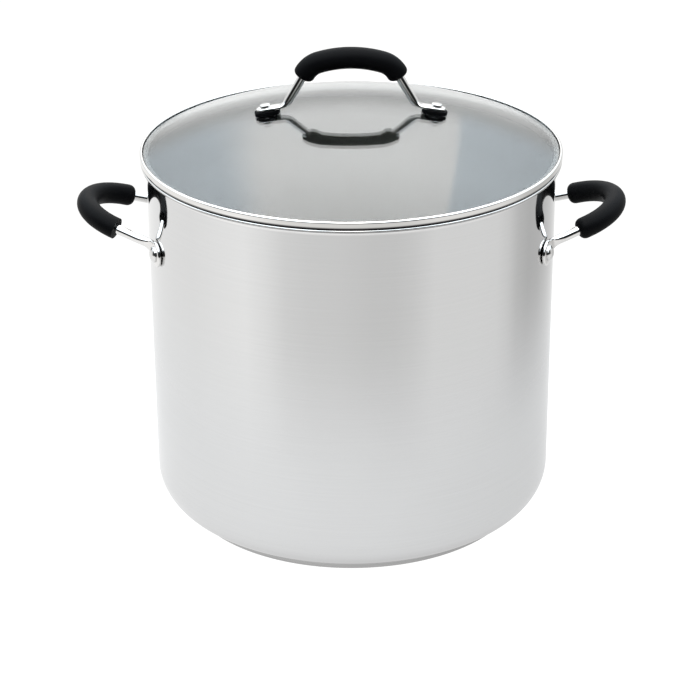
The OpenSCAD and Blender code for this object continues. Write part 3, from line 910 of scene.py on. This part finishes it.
def make_floor():
    """A pale round table top that fades into the backdrop. Its glow is painted light, a little
    brighter to one side, with a painted contact shadow in a ring round the base.
    """
    bm = bmesh.new()
    bmesh.ops.create_circle(bm, cap_ends=True, segments=128, radius=FLOOR_R)
    floor = finish_mesh("floor", bm, [])
    floor.location.z = -FLOOR_DROP
    shader = Shader("floor_pale", {"Roughness": 0.9})
    clouds = shader.noise(shader.place, 6.0)
    shader.feed("Base Color", shader.blend(shader.spread(clouds, 0.0, 1.0),
                                           (0.05, 0.05, 0.05), (0.06, 0.06, 0.06)))
    middle = {0: shader.place}
    reach = shader.add("ShaderNodeVectorMath", middle, operation="LENGTH").outputs["Value"]
    outwards = shader.add("ShaderNodeVectorMath", middle, operation="NORMALIZE").outputs[0]
    # Painted light: the floor's glow, a little brighter to one side
    drift = shader.add("ShaderNodeVectorMath", {0: outwards, 1: FLOOR_DRIFT},
                       operation="DOT_PRODUCT").outputs["Value"]
    # Painted contact shadow: the glow drops in a ring round the pot's base
    shade = shader.ramp(reach, FLOOR_SHADE_SPAN, FLOOR_SHADE, 1.0, interpolation_type="SMOOTHSTEP")
    glow = shader.math("MULTIPLY", shader.math("ADD", drift, FLOOR_GLOW), shade)
    path = shader.add("ShaderNodeLightPath")
    direct = path.outputs["Is Camera Ray"]
    seen = shader.add("ShaderNodeMix", {"Factor": direct, 2: glow, 3: WHITE}, data_type="FLOAT")
    shader.surface.inputs["Emission Color"].default_value = (1, 1, 1, 1)
    shader.feed("Emission Strength", seen.outputs[0])
    fade = shader.ramp(reach, FLOOR_FADE_SPAN, 0.0, 1.0, interpolation_type="SMOOTHSTEP")
    clear = shader.add("ShaderNodeBsdfTransparent")
    mix = shader.add("ShaderNodeMixShader", {0: fade, 1: shader.surface.outputs[0],
                                             2: clear.outputs[0]})
    shader.tree.links.new(mix.outputs[0], shader.tree.nodes["Material Output"].inputs["Surface"])
    floor.data.materials.append(shader.material)


def fill_ramp(ramp, levels):
    """Fills a colour ramp with (degrees, grey level), from -180 to 180 degrees."""
    stops = ramp.color_ramp.elements
    while len(stops) > 1:
        stops.remove(stops[-1])
    for i, (degrees, level) in enumerate(levels):
        place = (degrees + 180) / 360
        stop = stops[0] if i == 0 else stops.new(place)
        stop.position = place
        stop.color = (level, level, level, 1)


def make_world():
    """A soft studio: a bright ceiling and softbox, and a dark room in front."""
    world = bpy.data.worlds.new("studio")
    bpy.context.scene.world = world
    world.use_nodes = True
    tree = world.node_tree
    tree.nodes.clear()

    def add(kind, inputs=None, **settings):
        return add_node(tree, kind, inputs, **settings).outputs

    def calc(operation, a, b=0.0):
        return add("ShaderNodeMath", {0: a, 1: b}, operation=operation)[0]

    def step(value, span, first=0.0, last=1.0):
        inputs = {"Value": value, "From Min": span[0], "From Max": span[1],
                  "To Min": first, "To Max": last}
        return add("ShaderNodeMapRange", inputs, interpolation_type="SMOOTHSTEP")[0]

    def mix(factor, first, second):
        return add("ShaderNodeMix", {"Factor": factor, 2: first, 3: second}, data_type="FLOAT")[0]

    way = add("ShaderNodeTexCoord")["Generated"]
    right, back, up = add("ShaderNodeSeparateXYZ", {0: way})

    # The room's bands of light and shade, round the horizon and below it
    angle = calc("ARCTAN2", right, calc("MULTIPLY", back, -1.0))
    around = add("ShaderNodeMapRange", {"Value": angle, "From Min": -math.pi,
                                        "From Max": math.pi})[0]
    ramp = add_node(tree, "ShaderNodeValToRGB", {0: around})
    top = max(level for _, level in BANDS)
    fill_ramp(ramp, [(degrees, level / top) for degrees, level in BANDS])
    bands = calc("MULTIPLY", ramp.outputs[0], top)

    # The softbox above and behind, with a crisp right edge and a soft left one
    edge = calc("ADD", calc("MULTIPLY", back, SOFTBOX_TURN), calc("MULTIPLY", up, SOFTBOX_HALF))
    past_left = calc("ADD", right, calc("MULTIPLY", edge, SOFTBOX_LEFT))
    inside = calc("MULTIPLY", step(calc("SUBTRACT", right, edge), CRISP_SPAN, 1.0, 0.0),
                  step(past_left, SOFT_SPAN))
    height = step(up, CEILING_RISE_SPAN, *CEILING_RISE)
    ceiling = calc("MULTIPLY", mix(inside, CEILING, SOFTBOX), height)
    level = mix(step(up, CEILING_SPAN), mix(step(up, HORIZON_SPAN), bands, HORIZON), ceiling)

    # The dark room in front: a belt at the horizon, and a taller stand in its middle
    belt = calc("MULTIPLY", step(up, BELT_UP_SPAN, 1.0, 0.0), step(back, BELT_BACK_SPAN, 1.0, 0.0))
    in_front = step(back, STAND_BACK_SPAN, 1.0, 0.0)
    stand = calc("MULTIPLY", step(up, STAND_UP_SPAN, 1.0, 0.0), in_front)
    stand = calc("MULTIPLY", stand, step(right, STAND_RIGHT_SPAN))
    dark = calc("MULTIPLY", step(up, DARK_SPAN), calc("MAXIMUM", belt, stand))
    level = mix(dark, level, DARK)

    # Plain white where the backdrop is seen directly or straight through the glass
    path = add("ShaderNodeLightPath")
    bounces = calc("ADD", path["Diffuse Depth"], path["Glossy Depth"])
    through = calc("MULTIPLY", path["Is Transmission Ray"], calc("LESS_THAN", bounces, 0.5))
    direct = calc("MAXIMUM", path["Is Camera Ray"], through)
    seen = mix(direct, level, WHITE)
    overhead = calc("MULTIPLY", step(up, OVERHEAD_SPAN), calc("SUBTRACT", 1.0, inside))
    cool = calc("MULTIPLY", overhead, calc("SUBTRACT", 1.0, direct))
    tint = add("ShaderNodeMix", {"Factor": cool, 6: PLAIN_TINT, 7: OVERHEAD_TINT},
               data_type="RGBA")[2]
    sky = add("ShaderNodeBackground", {"Color": tint, "Strength": seen})[0]
    add("ShaderNodeOutputWorld", {"Surface": sky})


def make_camera():
    """The camera, at the angle that the pot is shown from."""
    data = bpy.data.cameras.new("camera")
    data.sensor_width = CAMERA_SENSOR
    data.lens = CAMERA_LENS
    data.shift_x = CAMERA_SHIFT
    camera = bpy.data.objects.new("camera", data)
    turn = Matrix.Rotation(HALF_PI - CAMERA_PITCH, 4, "X") @ Matrix.Rotation(CAMERA_ROLL, 4, "Z")
    camera.matrix_world = Matrix.Translation(CAMERA_PLACE) @ turn
    bpy.context.collection.objects.link(camera)
    bpy.context.scene.camera = camera


make_floor()
make_world()
make_camera()
bpy.context.scene.view_settings.view_transform = "Standard"
